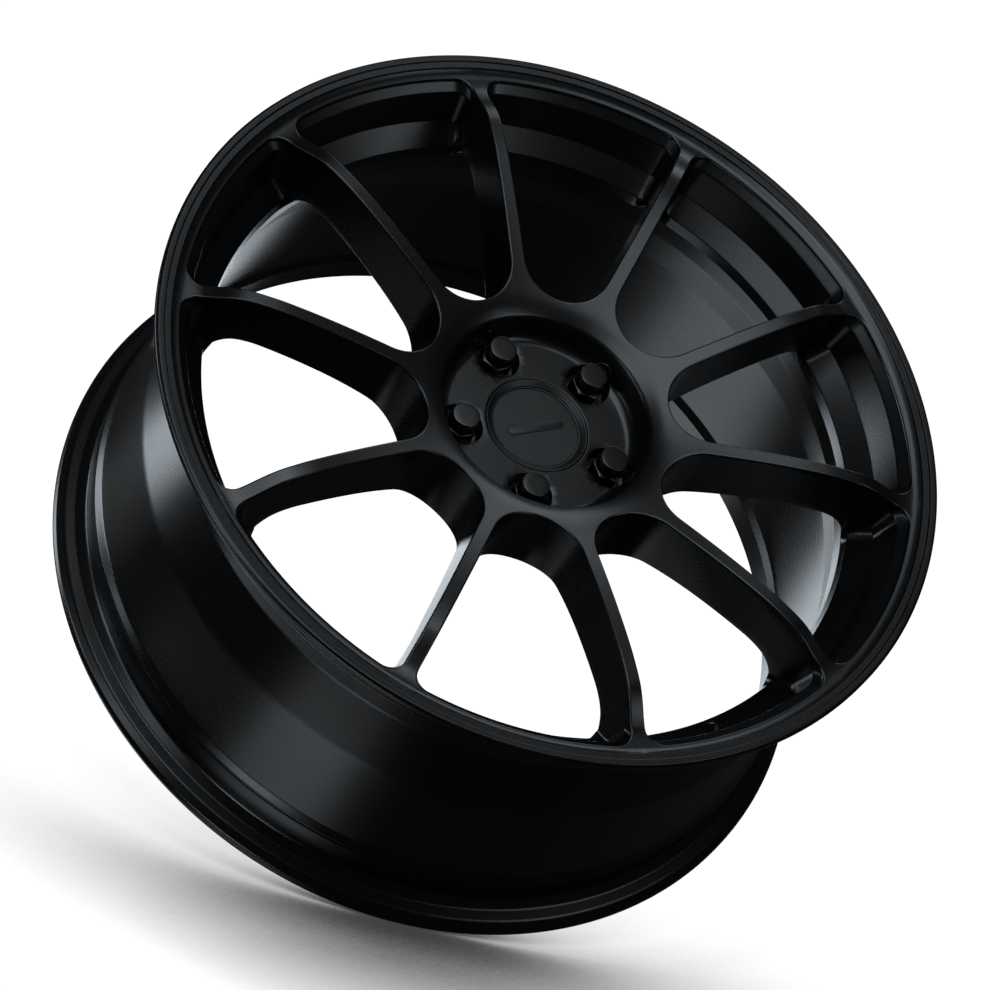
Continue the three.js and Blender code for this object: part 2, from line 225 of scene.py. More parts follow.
def rounded(chain, steps=5, hold=0.45):
    """The chain with an arc at each corner that has a radius, and a row held close to each arc's ends."""
    out = [Vector(chain[0][:2])]
    for before, (r, y, radius), after in zip(chain, chain[1:], chain[2:]):
        corner = Vector((r, y))
        a, b = Vector(before[:2]) - corner, Vector(after[:2]) - corner
        room = 0.46 * min(a.length, b.length)
        a.normalize()
        b.normalize()
        half = a.angle(b) / 2
        if radius <= 0 or half > math.radians(89):
            out.append(corner)
            continue
        reach = min(radius / math.tan(half), room)
        radius = reach * math.tan(half)
        centre = corner + (a + b).normalized() * (radius / math.sin(half))
        start, end = corner + a * reach - centre, corner + b * reach - centre
        first = math.atan2(start.y, start.x)
        sweep = (math.atan2(end.y, end.x) - first + math.pi) % (2 * math.pi) - math.pi
        if hold < room - reach:
            out.append(corner + a * (reach + hold))
        for k in range(steps + 1):
            turn = first + sweep * k / steps
            out.append(centre + radius * Vector((math.cos(turn), math.sin(turn))))
        if hold < room - reach:
            out.append(corner + b * (reach + hold))
    out.append(Vector(chain[-1][:2]))
    return out


front_face = smooth_curve(OUTER_FACE)
spoke_back = smooth_curve(SPOKE_BACK)
wall_rows = rounded(WINDOW_WALL)
rim_wall = straight_curve([(p.y, p.x) for p in wall_rows])
corner_round = straight_curve(CORNER_ROUNDS)

FOOT_STEPS, HUB_STEPS, FLANK_STEPS, CORNER_STEPS, OUTER_STEPS = 16, 10, 30, 12, 10
LIP_START = FOOT_STEPS + FLANK_STEPS + CORNER_STEPS // 2    # here the far edge leaves the spoke for the lip


def window_edge(i, depth, grow, sizes):
    """Point i of half a window's outline at a depth, foot to rim. It grows into the metal by grow."""
    s, c = math.sin(HALF_PITCH), math.cos(HALF_PITCH)
    lean = sizes.flank_draft * depth
    half = sizes.spoke_width / MM / 2 + lean
    foot = sizes.window_foot / MM + lean
    rim, corner = rim_wall(depth), corner_round(depth)
    foot_at = (foot - half) / (1 - s)
    foot_round = foot_at * s - half + grow
    if i <= FOOT_STEPS:
        turn = (math.pi / 2 - HALF_PITCH) * i / FOOT_STEPS
        return Vector((foot_at - foot_round * math.cos(turn), foot_round * math.sin(turn)))
    out = half + corner
    along = math.sqrt((rim - corner) ** 2 - out ** 2)
    middle = Vector((along * c + out * s, along * s - out * c))
    flank_end = middle + (corner + grow) * Vector((-s, c))
    if i < FOOT_STEPS + FLANK_STEPS:
        t = (i - FOOT_STEPS) / FLANK_STEPS
        t = 1 - (1 - t) ** 1.5
        return Vector((foot_at - foot_round * s, foot_round * c)).lerp(flank_end, t)
    rim_turn = HALF_PITCH - math.asin(out / (rim - corner))
    i -= FOOT_STEPS + FLANK_STEPS
    if i <= CORNER_STEPS:
        turn = math.pi / 2 + HALF_PITCH + (rim_turn - math.pi / 2 - HALF_PITCH) * i / CORNER_STEPS
        return middle + (corner + grow) * Vector((math.cos(turn), math.sin(turn)))
    turn = rim_turn * (1 - (i - CORNER_STEPS) / OUTER_STEPS)
    return (rim + grow) * Vector((math.cos(turn), math.sin(turn)))


def far_edge(i, edge, hub_r, rim_r, closes):
    """Where a row from the window's outline ends: at the hub's ring, mid spoke or at the rim's ring."""
    down_spoke = Vector((math.cos(HALF_PITCH), math.sin(HALF_PITCH)))
    if i <= HUB_STEPS:
        turn = HALF_PITCH * i / HUB_STEPS
        return hub_r * Vector((math.cos(turn), math.sin(turn)))
    flank_from, flank_to = FOOT_STEPS, FOOT_STEPS + FLANK_STEPS
    if i <= flank_from:
        t = (i - HUB_STEPS) / (flank_from - HUB_STEPS)
        return down_spoke * (hub_r + (edge[flank_from].dot(down_spoke) - hub_r) * t)
    if i <= flank_to:
        return down_spoke * edge[i].dot(down_spoke)
    if i <= LIP_START:
        near = edge[flank_to].dot(down_spoke)
        return down_spoke * (near + (rim_r - near) * (i - flank_to) / (LIP_START - flank_to))
    last_corner = flank_to + CORNER_STEPS
    meets = math.atan2(edge[last_corner].y, edge[last_corner].x)
    if i <= last_corner:
        turn = HALF_PITCH + (meets - HALF_PITCH) * (i - LIP_START) / (last_corner - LIP_START)
        return rim_r * Vector((math.cos(turn), math.sin(turn)))
    return edge[i] if closes else rim_r * edge[i].normalized()


FRONT_SHARES = [0, 0.05, 0.22, 0.48, 0.74, 1]
ROUND_STEPS = 4


def half_sector(sizes):
    """Half a spoke and half a window as one skin, from the hub's front ring to its rear ring."""
    count = FOOT_STEPS + FLANK_STEPS + CORNER_STEPS + OUTER_STEPS + 1
    ease = sizes.edge_round / MM
    front_edge, front_depth = [], []
    for i in range(count):
        depth = 0
        for _ in range(3):
            point = window_edge(i, depth, ease, sizes)
            depth = front_face(point.length)
        front_edge.append(point)
        front_depth.append(depth)
    back_ease = []
    for i in range(count):
        past = (i - FOOT_STEPS - FLANK_STEPS) / CORNER_STEPS
        back_ease.append(ease * 0.9 * (1 - min(1, max(0, past))))
    back_depth, back_edge = [], []
    for i in range(count):
        low, high = 15, 70
        for _ in range(24):
            depth = (low + high) / 2
            point = window_edge(i, depth, back_ease[i], sizes)
            if spoke_back(min(point.length, BACK_RING[0])) > depth:
                low = depth
            else:
                high = depth
        back_edge.append(point)
        back_depth.append(depth)
    levels = [p.y for p in wall_rows if 6 < p.y < BACK_RING[1] - 2] + [16, 22, 28]
    levels = sorted(set(round(v, 4) for v in levels))
    lowest, highest = levels[0], levels[-1]

    columns = []
    for i in range(count):
        column = []
        far = far_edge(i, front_edge, HUB_RING_R, LIP_RING[0], False)
        for share in reversed(FRONT_SHARES):
            point = front_edge[i].lerp(far, share)
            column.append((point, front_face(point.length)))
        for k in range(1, ROUND_STEPS + 1):
            turn = math.pi / 2 * k / ROUND_STEPS
            depth = front_depth[i] + ease * (1 - math.cos(turn))
            column.append((window_edge(i, depth, ease * (1 - math.sin(turn)), sizes), depth))
        top = front_depth[i] + ease
        bottom = back_depth[i] - back_ease[i] * 0.9
        near_rim = min(1, max(0, (front_edge[i].length - 150) / 45))
        for level in levels:
            share = (level - lowest) / (highest - lowest)
            spread = top + 0.5 + (bottom - top - 1.3) * share
            knee = min(30, bottom - 6)
            deep = bottom - (BACK_RING[1] - highest)
            pinned = level if level < knee else knee + (level - knee) * (deep - knee) / (highest - knee)
            depth = spread + (pinned - spread) * near_rim
            column.append((window_edge(i, depth, 0, sizes), depth))
        for k in range(ROUND_STEPS + 1):
            turn = math.pi / 2 * k / ROUND_STEPS
            depth = bottom + 0.9 * back_ease[i] * math.sin(turn)
            column.append((window_edge(i, depth, back_ease[i] * (1 - math.cos(turn)), sizes), depth))
        far = far_edge(i, back_edge, BACK_HUB_RING[0], BACK_RING[0], True)
        for share in FRONT_SHARES[1:]:
            point = back_edge[i].lerp(far, share)
            ring = BACK_HUB_RING[1] if i <= HUB_STEPS and share == 1 else None
            column.append((point, ring or spoke_back(min(point.length, BACK_RING[0]))))
        if i >= LIP_START:
            start, end = column[0][0], column[-1][0]
            turn_a, turn_b = math.atan2(end.y, end.x), math.atan2(start.y, start.x)
            for k, (r, depth) in enumerate(reversed(PARTING), 1):
                turn = turn_a + (turn_b - turn_a) * k / (len(PARTING) + 1)
                column.append((r * Vector((math.cos(turn), math.sin(turn))), depth))
            column.append(column[0])
        columns.append(column)

    work = bmesh.new()
    grid = []
    for column in columns:
        grid.append([
            work.verts.new((point.x * MM, (LIP_PLANE + depth) * MM, point.y * MM)) for point, depth in column
        ])
    for one, two in zip(grid, grid[1:]):
        rows = min(len(one), len(two))
        for k in range(rows - 1):
            work.faces.new((one[k], one[k + 1], two[k + 1], two[k]))
    return mesh_of(work, "half_sector")


def ring_turns():
    """The angles that the hub's rings are cut at, which are the ones that the spokes' skins end on."""
    turns = []
    for sector in range(SPOKES):
        for k in range(-HUB_STEPS, HUB_STEPS):
            turns.append(2 * HALF_PITCH * sector + HALF_PITCH * k / HUB_STEPS)
    return turns


def plan_with_holes(work, ring_radii, depth_at, holes):
    """A turned surface with round holes through it. Returns the new points round each hole."""
    turns = ring_turns()
    points, edges = [], []

    def add_loop(loop):
        first = len(points)
        points.extend(loop)
        edges.extend((first + k, first + (k + 1) % len(loop)) for k in range(len(loop)))

    for r in ring_radii:
        add_loop([Vector((r * math.cos(a), r * math.sin(a))) for a in turns])
    for centre, radius, hole_turns in holes:
        add_loop([centre + radius * Vector((math.cos(a), math.sin(a))) for a in hole_turns])
    spots, _, faces, *_ = delaunay_2d_cdt(points, edges, [], 0, 1e-5)
    low, high = min(ring_radii), max(ring_radii)
    made = [work.verts.new((p.x * MM, (LIP_PLANE + depth_at(p.length)) * MM, p.y * MM)) for p in spots]
    for face in faces:
        middle = sum((spots[i] for i in face), Vector((0, 0))) / 3
        if not low * 0.9999 < middle.length < high:
            continue
        if any((middle - centre).length < radius * 0.995 for centre, radius, _ in holes):
            continue
        if any(all(abs((spots[i] - centre).length - radius) < radius * 0.002 for i in face)
               for centre, radius, _ in holes):
            continue
        work.faces.new([made[i] for i in face])
    rims = []
    for centre, radius, _ in holes:
        rim = []
        for spot, vert in zip(spots, made):
            if vert.link_faces and abs((spot - centre).length - radius) < radius * 0.002:
                rim.append((math.atan2(spot.y - centre.y, spot.x - centre.x), vert))
        rims.append(sorted(rim, key=lambda item: item[0]))
    for vert in made:
        if not vert.link_faces:
            work.verts.remove(vert)
    return rims


def sink(work, rim, centre, rows, follow):
    """Walls down from a hole's rim through rows of (radius, depth). First rows follow the rim's depth."""
    last = [vert for _, vert in rim]
    for k, (radius, depth) in enumerate(rows):
        new = []
        for turn, vert in rim:
            level = vert.co.y / MM - LIP_PLANE + depth if k < follow else depth
            new.append(work.verts.new((
                (centre.x + radius * math.cos(turn)) * MM, (LIP_PLANE + level) * MM,
                (centre.y + radius * math.sin(turn)) * MM,
            )))
        for n in range(len(rim)):
            m = (n + 1) % len(rim)
            work.faces.new((last[n], last[m], new[m], new[n]))
        last = new
    return last


def hub_mesh(sizes):
    """The bowl with its five nut pockets, the bore and the rear face, open where the spokes join."""
    work = bmesh.new()
    bowl = rounded([(HUB_RING_R, front_face(HUB_RING_R), 0), *HUB_BOWL[1:]], steps=6)
    depth_at = straight_curve([(p.x, p.y) for p in reversed(bowl)])
    circle = sizes.lug_circle / MM
    places = [FIRST_LUG + 2 * math.pi * k / LUGS for k in range(LUGS)]
    centres = [circle * Vector((math.cos(a), math.sin(a))) for a in places]
    even = [2 * math.pi * k / 72 for k in range(72)]
    ease, pocket = 0.6, 13.9
    rings = [p.x for p in bowl] + [34, 42, 50]
    rims = plan_with_holes(work, rings, depth_at, [(c, pocket + ease, even) for c in centres])
    rear_holes = []
    for centre, rim in zip(centres, rims):
        rows = [(pocket + ease * (1 - math.sin(t)), ease * (1 - math.cos(t))) for t in
                (math.pi / 2 * k / 3 for k in range(1, 4))]
        rows += [(pocket, 45.9), (pocket, 46.5), (pocket - 0.3, 47.2), (pocket - 1, 47.5), (11.6, 47.5),
                 (11.1, 47.7), (7.7, 53.7), (7.4, 54.2), (7.4, 66.6), (7.9, 67.3)]
        sink(work, rim, centre, rows, 3)
        rear_holes.append((centre, 7.9, [turn for turn, _ in rim]))
    rear = straight_curve([(29.05, 67.3), (72.8, 67.3), (73.3, 66.8), BACK_HUB_RING])
    plan_with_holes(work, [29.05, 72.3, 72.8, 73.3, BACK_HUB_RING[0]], rear, rear_holes)
    bore = CAP_SEAT + [(29.6, 56), (28.05, 60), (28.05, 66.3), (29.05, 67.3)]
    skin_rows(work, [
        [(r * math.cos(a), depth, r * math.sin(a)) for a in ring_turns()] for r, depth in bore
    ])
    return mesh_of(work, "hub_skin")


class Tree:
    """A geometry or shader node group that is filled node by node."""

    def __init__(self, name, kind, inputs, outputs):
        self.group = bpy.data.node_groups.new(name, kind)
        for label, socket_type, default in inputs:
            socket = self.group.interface.new_socket(label, in_out="INPUT", socket_type=socket_type)
            if default is not None:
                socket.default_value = default
        for label, socket_type in outputs:
            self.group.interface.new_socket(label, in_out="OUTPUT", socket_type=socket_type)
        self.start = self.group.nodes.new("NodeGroupInput")
        self.end = self.group.nodes.new("NodeGroupOutput")

    def add(self, kind, inputs=None, **settings):
        return add_node(self.group, kind, inputs, **settings)

    def math(self, operation, a, b=0):
        return self.add("ShaderNodeMath", {0: a, 1: b}, operation=operation).outputs[0]

    def out(self, label, value):
        self.group.links.new(value, self.end.inputs[label])


def add_node(tree, kind, inputs=None, **settings):
    """A new node with its settings made and its inputs joined or set."""
    node = tree.nodes.new(kind)
    for key, value in settings.items():
        setattr(node, key, value)
    for key, value in (inputs or {}).items():
        plug(tree, node, key, value)
    return node


def plug(tree, node, key, value):
    """Joins a socket to a node's input, or sets the input's own value."""
    if isinstance(value, bpy.types.NodeSocket):
        tree.links.new(value, node.inputs[key])
    else:
        node.inputs[key].default_value = value


GEOMETRY = "NodeSocketGeometry"
NUMBER = "NodeSocketFloat"
WHOLE = "NodeSocketInt"
COLOUR = "NodeSocketColor"


def repeat_tree():
    """Mirrors half a sector and sets the whole one round the axle as many times as asked."""
    tree = Tree(
        "Repeat round the axle", "GeometryNodeTree",
        [("Half sector", GEOMETRY, None), ("Count", WHOLE, SPOKES), ("Weld", NUMBER, 2e-6),
         ("Finish", "NodeSocketMaterial", None)],
        [("Geometry", GEOMETRY)],
    )
    start = tree.start.outputs
    mirrored = tree.add("GeometryNodeTransform", {"Geometry": start["Half sector"], "Scale": (1, 1, -1)})
    flipped = tree.add("GeometryNodeFlipFaces", {"Mesh": mirrored.outputs[0]})
    whole = tree.add("GeometryNodeJoinGeometry")
    tree.group.links.new(flipped.outputs[0], whole.inputs[0])
    tree.group.links.new(start["Half sector"], whole.inputs[0])
    places = tree.add("GeometryNodeMeshLine", {"Count": start["Count"], "Offset": (0, 0, 0)})
    index = tree.add("GeometryNodeInputIndex").outputs[0]
    turn = tree.math("MULTIPLY", index, tree.math("DIVIDE", -2 * math.pi, start["Count"]))
    spin = tree.add("ShaderNodeCombineXYZ", {"Y": turn})
    copies = tree.add("GeometryNodeInstanceOnPoints", {
        "Points": places.outputs[0], "Instance": whole.outputs[0], "Rotation": spin.outputs[0],
    })
    real = tree.add("GeometryNodeRealizeInstances", {"Geometry": copies.outputs[0]})
    welded = tree.add("GeometryNodeMergeByDistance", {
        "Geometry": real.outputs[0], "Distance": start["Weld"],
    })
    done = tree.add("GeometryNodeSetMaterial", {"Geometry": welded.outputs[0], "Material": start["Finish"]})
    tree.out("Geometry", done.outputs[0])
    return tree.group


def turning_tree():
    """Turns an outline round the axle. The outline's points lie in its plane of X and Y, in order."""
    tree = Tree(
        "Turn round the axle", "GeometryNodeTree",
        [("Outline", GEOMETRY, None), ("Facets", WHOLE, 96), ("Weld", NUMBER, 1e-6),
         ("Finish", "NodeSocketMaterial", None)],
        [("Geometry", GEOMETRY)],
    )
    start = tree.start.outputs
    size = tree.add("GeometryNodeAttributeDomainSize", {"Geometry": start["Outline"]})
    rows = size.outputs["Point Count"]
    across = tree.math("ADD", start["Facets"], 1)
    sheet = tree.add("GeometryNodeMeshGrid", {"Vertices X": across, "Vertices Y": rows})
    index = tree.add("GeometryNodeInputIndex").outputs[0]
    column = tree.math("FLOOR", tree.math("DIVIDE", tree.math("ADD", index, 0.5), rows))
    row = tree.math("SUBTRACT", index, tree.math("MULTIPLY", column, rows))
    place = tree.add("GeometryNodeInputPosition").outputs[0]
    sample = tree.add("GeometryNodeSampleIndex", {"Geometry": start["Outline"]}, data_type="FLOAT_VECTOR")
    plug(tree.group, sample, "Value", place)
    plug(tree.group, sample, "Index", row)
    parts = tree.add("ShaderNodeSeparateXYZ", {0: sample.outputs[0]}).outputs
    turn = tree.math("MULTIPLY", column, tree.math("DIVIDE", 2 * math.pi, start["Facets"]))
    spot = tree.add("ShaderNodeCombineXYZ", {
        "X": tree.math("MULTIPLY", parts["X"], tree.math("COSINE", turn)), "Y": parts["Y"],
        "Z": tree.math("MULTIPLY", parts["X"], tree.math("SINE", turn)),
    })
    moved = tree.add("GeometryNodeSetPosition", {
        "Geometry": sheet.outputs["Mesh"], "Position": spot.outputs[0],
    })
    welded = tree.add("GeometryNodeMergeByDistance", {
        "Geometry": moved.outputs[0], "Distance": start["Weld"],
    })
    real = tree.add("GeometryNodeRealizeInstances", {"Geometry": welded.outputs[0]})
    done = tree.add("GeometryNodeSetMaterial", {"Geometry": real.outputs[0], "Material": start["Finish"]})
    tree.out("Geometry", done.outputs[0])
    return tree.group


def once(name, builder):
    """The node group of that name, built the first time that it is asked for."""
    return bpy.data.node_groups.get(name) or builder()


def shaped(name, source, tree, values):
    """A plain mesh object made by running a geometry tree on a source mesh."""
    raw = bpy.data.objects.new(name + "_source", source)
    bpy.context.scene.collection.objects.link(raw)
    modifier = raw.modifiers.new("Shape", "NODES")
    modifier.node_group = tree
    for item in tree.interface.items_tree:
        if item.item_type == "SOCKET" and item.in_out == "INPUT" and item.name in values:
            modifier[item.identifier] = values[item.name]
    graph = bpy.context.evaluated_depsgraph_get()
    mesh = bpy.data.meshes.new_from_object(raw.evaluated_get(graph))
    bpy.data.objects.remove(raw)
    bpy.data.meshes.remove(source)
    mesh.name = name
    piece = bpy.data.objects.new(name, mesh)
    bpy.context.scene.collection.objects.link(piece)
    return piece


def outline_mesh(points):
    """An outline of (distance from the axle, depth behind the lip) in mm as a mesh of points and edges."""
    mesh = bpy.data.meshes.new("outline")
    spots = [(p[0] * MM, (LIP_PLANE + p[1]) * MM, 0) for p in points]
    mesh.from_pydata(spots, [(k, k + 1) for k in range(len(spots) - 1)], [])
    return mesh


def stud_tree():
    """Stands a piece made on the axle on a stud's place on the lug circle."""
    tree = Tree(
        "Stand on a stud", "GeometryNodeTree",
        [("Piece", GEOMETRY, None), ("Lug circle", NUMBER, 0.05), ("Place", NUMBER, 0), ("Turn", NUMBER, 0),
         ("Finish", "NodeSocketMaterial", None)],
        [("Geometry", GEOMETRY)],
    )
    start = tree.start.outputs
    spot = tree.add("ShaderNodeCombineXYZ", {
        "X": tree.math("MULTIPLY", start["Lug circle"], tree.math("COSINE", start["Place"])),
        "Z": tree.math("MULTIPLY", start["Lug circle"], tree.math("SINE", start["Place"])),
    })
    turned = tree.add("ShaderNodeCombineXYZ", {"Y": tree.math("MULTIPLY", start["Turn"], -1)})
    stud = tree.add("GeometryNodeMeshLine", {"Count": 1, "Start Location": spot.outputs[0]})
    stood = tree.add("GeometryNodeInstanceOnPoints", {
        "Points": stud.outputs[0], "Instance": start["Piece"], "Rotation": turned.outputs[0],
    })
    real = tree.add("GeometryNodeRealizeInstances", {"Geometry": stood.outputs[0]})
    done = tree.add("GeometryNodeSetMaterial", {"Geometry": real.outputs[0], "Material": start["Finish"]})
    tree.out("Geometry", done.outputs[0])
    return tree.group


def mesh_of(work, name):
    """The work as a new mesh."""
    mesh = bpy.data.meshes.new(name)
    work.to_mesh(mesh)
    work.free()
    return mesh


def skin_rows(work, rows, closed=True):
    """Faces between rows of points of equal length. Returns the rows as vertices."""
    made = [[work.verts.new((x * MM, (LIP_PLANE + y) * MM, z * MM)) for x, y, z in row] for row in rows]
    count = len(rows[0])
    for one, two in zip(made, made[1:]):
        for n in range(count if closed else count - 1):
            m = (n + 1) % count
            work.faces.new((one[n], one[m], two[m], two[n]))
    return made


def nut_mesh(sizes):
    """A closed-end nut on the axle: round crown, hexagon with turned-off corners, nose and blind thread."""
    flat = sizes.nut_hexagon / MM / 2
    corner = math.degrees(math.acos(flat / NUT_CORNER))
    side = [0, 9, 18, corner - 2.2, corner - 0.8, corner, 30]
    turns = sorted({round(60 * k + sign * a, 4) % 360 for k in range(6) for a in side for sign in (-1, 1)})
    reach = [min(NUT_CORNER, flat / math.cos(math.radians((a + 30) % 60 - 30))) for a in turns]
    shoulder = NUT_SHOULDER + 0.05

    def ring(r, depth):
        return [(r, depth)] * len(turns)

    def hexagon(inset, drop):
        return [(h - inset, shoulder + (h - NUT_WASHER) * 0.53 + drop) for h in reach]

    rows = [
        ring(0, NUT_TOP), ring(4, NUT_TOP), ring(NUT_CROWN - 0.75, NUT_TOP),
        ring(NUT_CROWN - 0.5, NUT_TOP + 0.02), ring(NUT_CROWN - 0.2, NUT_TOP + 0.2),
        ring(NUT_CROWN - 0.04, NUT_TOP + 0.45),
        ring(NUT_CROWN, NUT_TOP + 0.75), ring(NUT_CROWN, NUT_TOP + 1.2), ring(NUT_CROWN, NUT_SHOULDER - 0.9),
        ring(NUT_CROWN, NUT_SHOULDER - 0.5), ring(NUT_CROWN + 0.12, NUT_SHOULDER - 0.15),
        ring(NUT_CROWN + 0.4, shoulder), ring(NUT_WASHER, shoulder),
        hexagon(0.35, -0.18), hexagon(0.16, -0.07), hexagon(0.03, 0.06), hexagon(0, 0.25), hexagon(0, 0.6),
        [(h, NUT_FOOT - 1) for h in reach], [(h, NUT_FOOT - 0.6) for h in reach],
        [(h - 0.5, NUT_FOOT) for h in reach], ring(NUT_NOSE, NUT_FOOT), ring(NUT_NOSE, NUT_NOSE_END - 0.4),
        ring(NUT_NOSE - 0.4, NUT_NOSE_END), ring(NUT_THREAD, NUT_NOSE_END), ring(NUT_THREAD, NUT_BLIND_END),
        ring(0, NUT_BLIND_END),
    ]
    work = bmesh.new()
    skin_rows(work, [
        [(r * math.cos(math.radians(a)), depth, r * math.sin(math.radians(a)))
         for (r, depth), a in zip(row, turns)]
        for row in rows
    ])
    return finished(work, "lug_nut")


def finished(work, name):
    """The work as a new mesh, with its poles and seams closed."""
    bmesh.ops.remove_doubles(work, verts=work.verts, dist=1e-6)
    bmesh.ops.dissolve_degenerate(work, edges=work.edges, dist=1e-7)
    bmesh.ops.recalc_face_normals(work, faces=work.faces)
    return mesh_of(work, name)


def leg_mesh():
    """Half of one of the cap's snap legs, cut where the leg will be mirrored."""
    half = math.pi / CAP_LEGS - math.atan2(CAP_LEG_SLOT, CAP_LEG[1][0])
    work = bmesh.new()
    rows = []
    for k in range(7):
        a = half * k / 6
        rows.append([(r * math.cos(a), y, r * math.sin(a)) for r, y in CAP_LEG])
    made = skin_rows(work, rows)
    work.faces.new(made[-1])
    return mesh_of(work, "cap_leg")


def bar_mesh():
    """The plain raised bar on the cap's disc."""
    half, end = EMBLEM_BAR["length"] / 2 - EMBLEM_BAR["width"] / 2, EMBLEM_BAR["width"] / 2
    face, high = EMBLEM_OUTLINE[0][1], EMBLEM_BAR["height"]
    lean = EMBLEM_BAR["turn"]
    rows = []
    steps = ((-0.15, -0.1), (-0.15, 0.02), (0, 0.12), (0.05, high - 0.22), (0.13, high - 0.07), (0.3, high))
    for inset, lift in steps:
        row = []
        for k in range(48):
            a = 2 * math.pi * k / 48
            x = (half if math.cos(a) >= 0 else -half) + (end - inset) * math.cos(a)
            z = (end - inset) * math.sin(a)
            along = x * math.cos(lean) - z * math.sin(lean)
            row.append((along, face - lift, x * math.sin(lean) + z * math.cos(lean)))
        rows.append(row)
    work = bmesh.new()
    made = skin_rows(work, rows)
    work.faces.new(made[-1])
    work.faces.new(made[0])
    return finished(work, "emblem_bar")


def spring_mesh():
    """The wire ring that presses the cap's legs outwards, open over a sixth of its turn."""
    rows = []
    for k in range(73):
        a = math.radians(SPRING_GAP / 2 + (360 - SPRING_GAP) * k / 72)
        ring = []
        for n in range(12):
            b = 2 * math.pi * n / 12
            r = SPRING_R + SPRING_WIRE_R * math.cos(b)
            ring.append((r * math.cos(a), SPRING_DEPTH + SPRING_WIRE_R * math.sin(b), r * math.sin(a)))
        rows.append(ring)
    work = bmesh.new()
    made = skin_rows(work, rows)
    work.faces.new(made[0])
    work.faces.new(made[-1])
    return finished(work, "cap_spring")


def merge_in(piece, mesh):
    """Adds a mesh to a piece's own and drops it."""
    work = bmesh.new()
    work.from_mesh(piece.data)
    work.from_mesh(mesh)
    work.to_mesh(piece.data)
    work.free()
    bpy.data.meshes.remove(mesh)


def drill_valve(piece, sizes):
    """Drills the valve hole and its spot face square to the sloping flank of the drop centre."""
    top, foot = Vector(WINDOW_WALL[3][:2]), Vector(WINDOW_WALL[4][:2])
    middle = top.lerp(foot, 0.5)
    slope = (foot - top).normalized()
    out = Vector((slope.y, -slope.x))
    if out.y > 0:
        out.negate()
    work = bmesh.new()
    hole = sizes.valve_hole / MM
    rows = []
    drill_outline = (
        (0, 9), (9.6, 9), (9.0, 0.35), (8.8, -0.5), (hole + 0.6, -0.5), (hole, -1.1), (hole, -22), (0, -22),
    )
    for r, height in drill_outline:
        ring = []
        for k in range(64):
            a = 2 * math.pi * k / 64
            depth_way = middle + out * height + slope * r * math.cos(a)
            across = r * math.sin(a)
            c, s = math.cos(VALVE_ANGLE), math.sin(VALVE_ANGLE)
            ring.append((depth_way.x * c - across * s, depth_way.y, depth_way.x * s + across * c))
        rows.append(ring)
    skin_rows(work, rows)
    drill = bpy.data.objects.new("valve_drill", finished(work, "valve_drill"))
    bpy.context.scene.collection.objects.link(drill)
    cut = piece.modifiers.new("Drill", "BOOLEAN")
    cut.operation, cut.object, cut.solver = "DIFFERENCE", drill, "EXACT"
    graph = bpy.context.evaluated_depsgraph_get()
    mesh = bpy.data.meshes.new_from_object(piece.evaluated_get(graph))
    piece.modifiers.remove(cut)
    old, drilled = piece.data, drill.data
    piece.data = mesh
    bpy.data.meshes.remove(old)
    bpy.data.objects.remove(drill)
    bpy.data.meshes.remove(drilled)


def weld_and_smooth(mesh, sharp=38, weld=2e-6):
    """Closes the seams, turns every face outwards and smooths all but the sharp edges."""
    work = bmesh.new()
    work.from_mesh(mesh)
    bmesh.ops.remove_doubles(work, verts=work.verts, dist=weld)
    bmesh.ops.dissolve_degenerate(work, edges=work.edges, dist=1e-7)
    bmesh.ops.recalc_face_normals(work, faces=work.faces)
    work.to_mesh(mesh)
    work.free()
    mesh.shade_smooth()
    mesh.set_sharp_from_angle(angle=math.radians(sharp))


def coat_with(mesh, finish):
    """Leaves the mesh with one finish over all of it."""
    mesh.materials.clear()
    mesh.materials.append(finish)
    mesh.polygons.foreach_set("material_index", [0] * len(mesh.polygons))


def finish_of(name):
    """The finish of that name, which must have been made already."""
    material = bpy.data.materials.get(name)
    if material is None:
        raise RuntimeError(f"make the finishes first: there is no {name}")
    return material


def speckle_group():
    """Fine cured grain of a coating: a slow drift of colour and sheen, and a height for its skin."""
    tree = Tree(
        "Cured coating", "ShaderNodeTree",
        [("Colour", COLOUR, None), ("Sheen", NUMBER, 0.4), ("Grain size", NUMBER, 0.0012),
         ("Drift", NUMBER, 0.1), ("Sheen drift", NUMBER, 0.05)],
        [("Colour", COLOUR), ("Roughness", NUMBER), ("Height", NUMBER)],
    )
    start = tree.start.outputs
    place = tree.add("ShaderNodeTexCoord").outputs["Object"]
    rate = tree.math("DIVIDE", 1, start["Grain size"])
    grain = tree.add("ShaderNodeTexNoise", {"Vector": place, "Scale": rate, "Detail": 3, "Roughness": 0.6})
    cloud = tree.add("ShaderNodeTexNoise", {"Vector": place, "Scale": 9, "Detail": 3, "Roughness": 0.5})
    fleck = tree.math("SUBTRACT", grain.outputs["Fac"], 0.5)
    cloudy = tree.math("SUBTRACT", cloud.outputs["Fac"], 0.5)
    wander = tree.math("ADD", tree.math("MULTIPLY", fleck, 0.6), cloudy)
    gain = tree.math("ADD", 1, tree.math("MULTIPLY", wander, tree.math("MULTIPLY", start["Drift"], 2)))
    tint = tree.add("ShaderNodeVectorMath", {0: start["Colour"], "Scale": gain}, operation="SCALE")
    tree.out("Colour", tint.outputs["Vector"])
    shift = tree.math("MULTIPLY", wander, tree.math("MULTIPLY", start["Sheen drift"], 2))
    tree.out("Roughness", tree.math("ADD", start["Sheen"], shift))
    tree.out("Height", fleck)
    return tree.group


